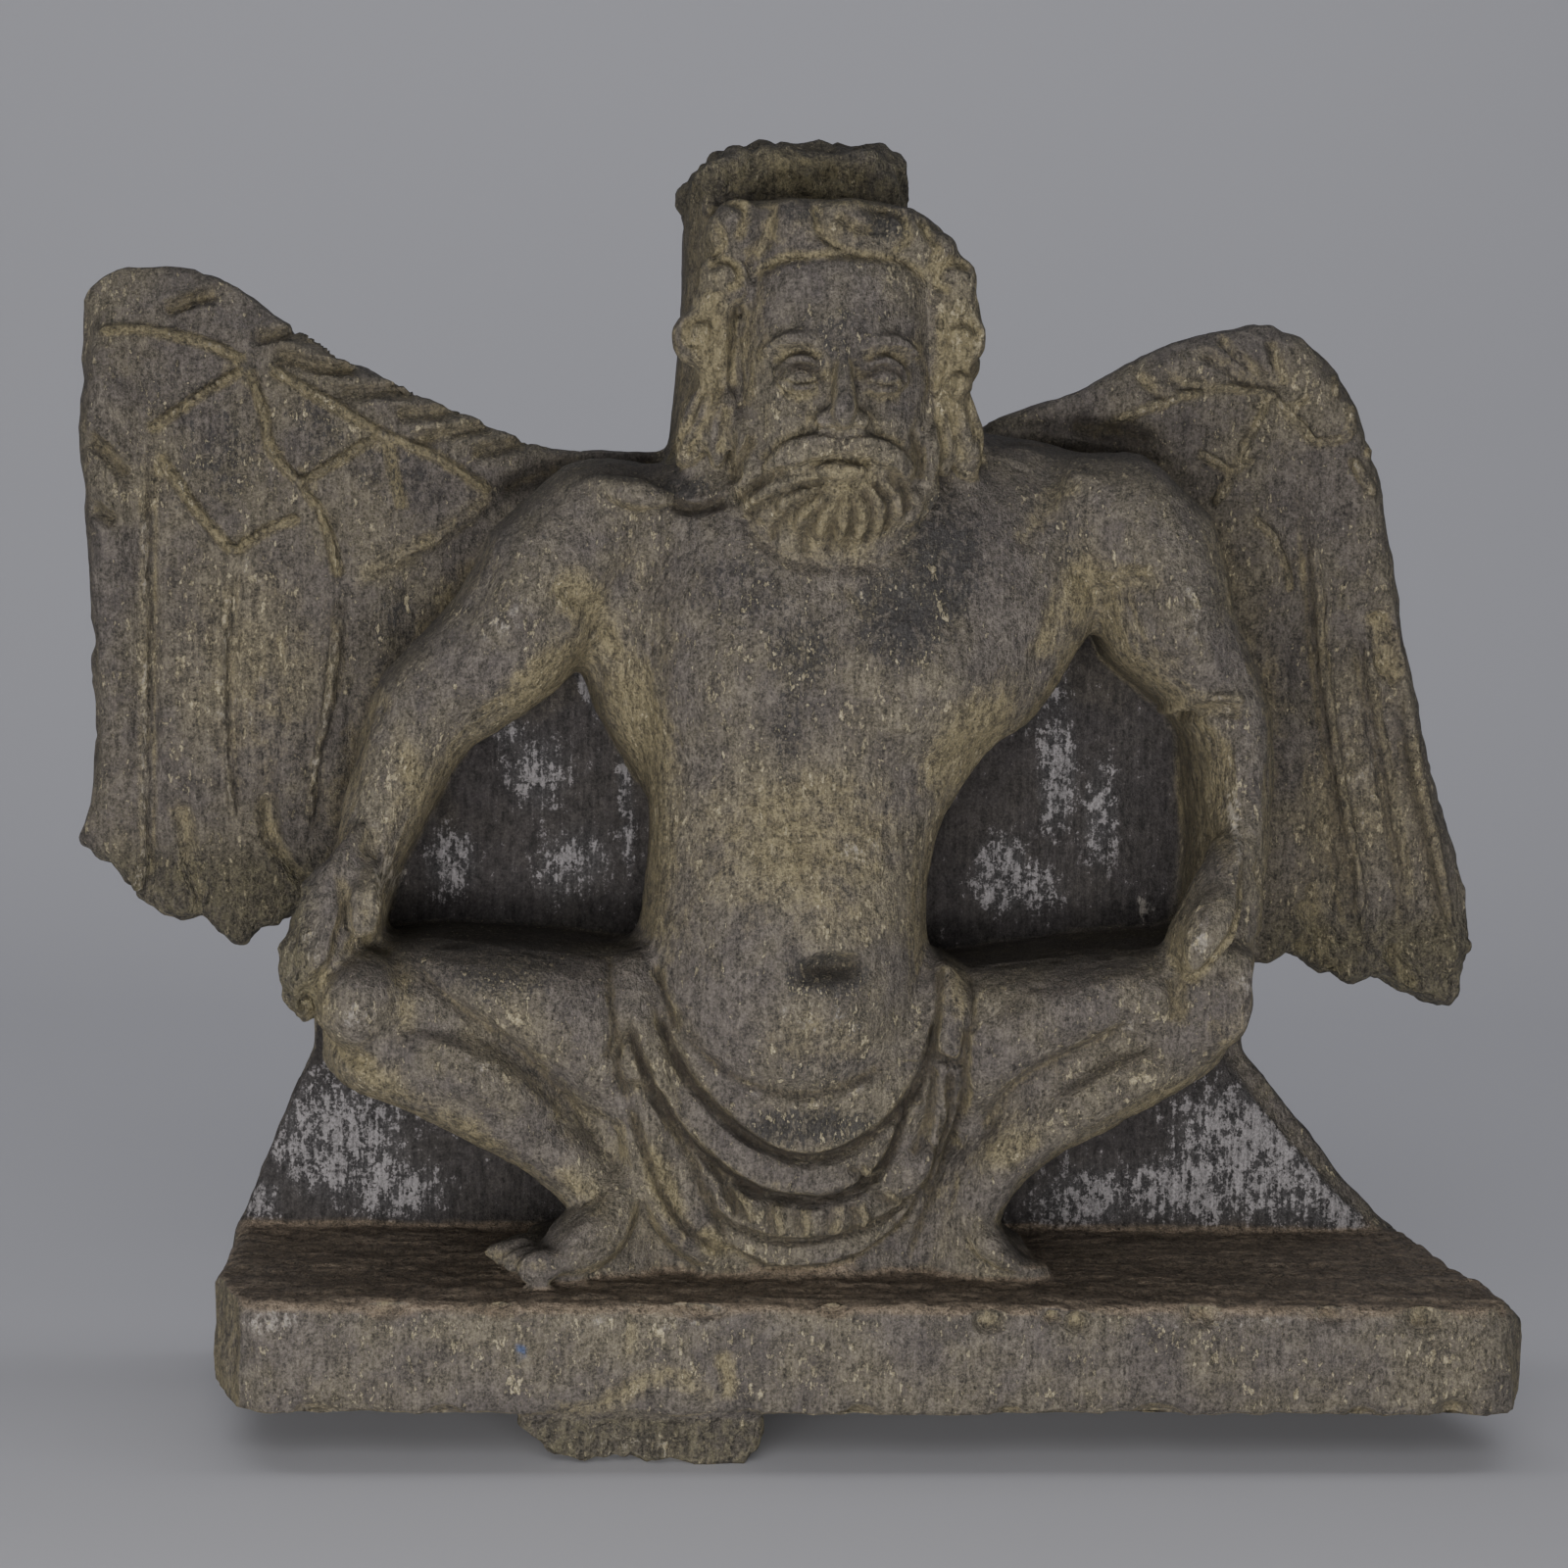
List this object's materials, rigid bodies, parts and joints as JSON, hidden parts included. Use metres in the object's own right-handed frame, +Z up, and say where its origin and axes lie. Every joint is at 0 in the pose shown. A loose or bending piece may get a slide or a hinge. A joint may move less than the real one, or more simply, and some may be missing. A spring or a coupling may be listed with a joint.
{
  "type": "winged atlas figure",
  "caption": "Carved stone atlas figure with spread wings, crouching with hands on knees before a flat back slab on its own plinth.",
  "frame": {"origin": "under the middle of the part's box, level with the broken tenon's lowest point", "axes": "+Z up, the figure faces -Y, +X to the viewer's right as seen from the front, the flat back lies on +Y"},
  "size_m": [0.2272, 0.066, 0.1965],
  "materials": {
    "schist": "weathered mauve-grey schist with ochre patina in the carving and dark, pale-crusted recesses"
  },
  "bodies": {
    "root": {"winged_atlas": "schist"}
  },
  "joints": []
}
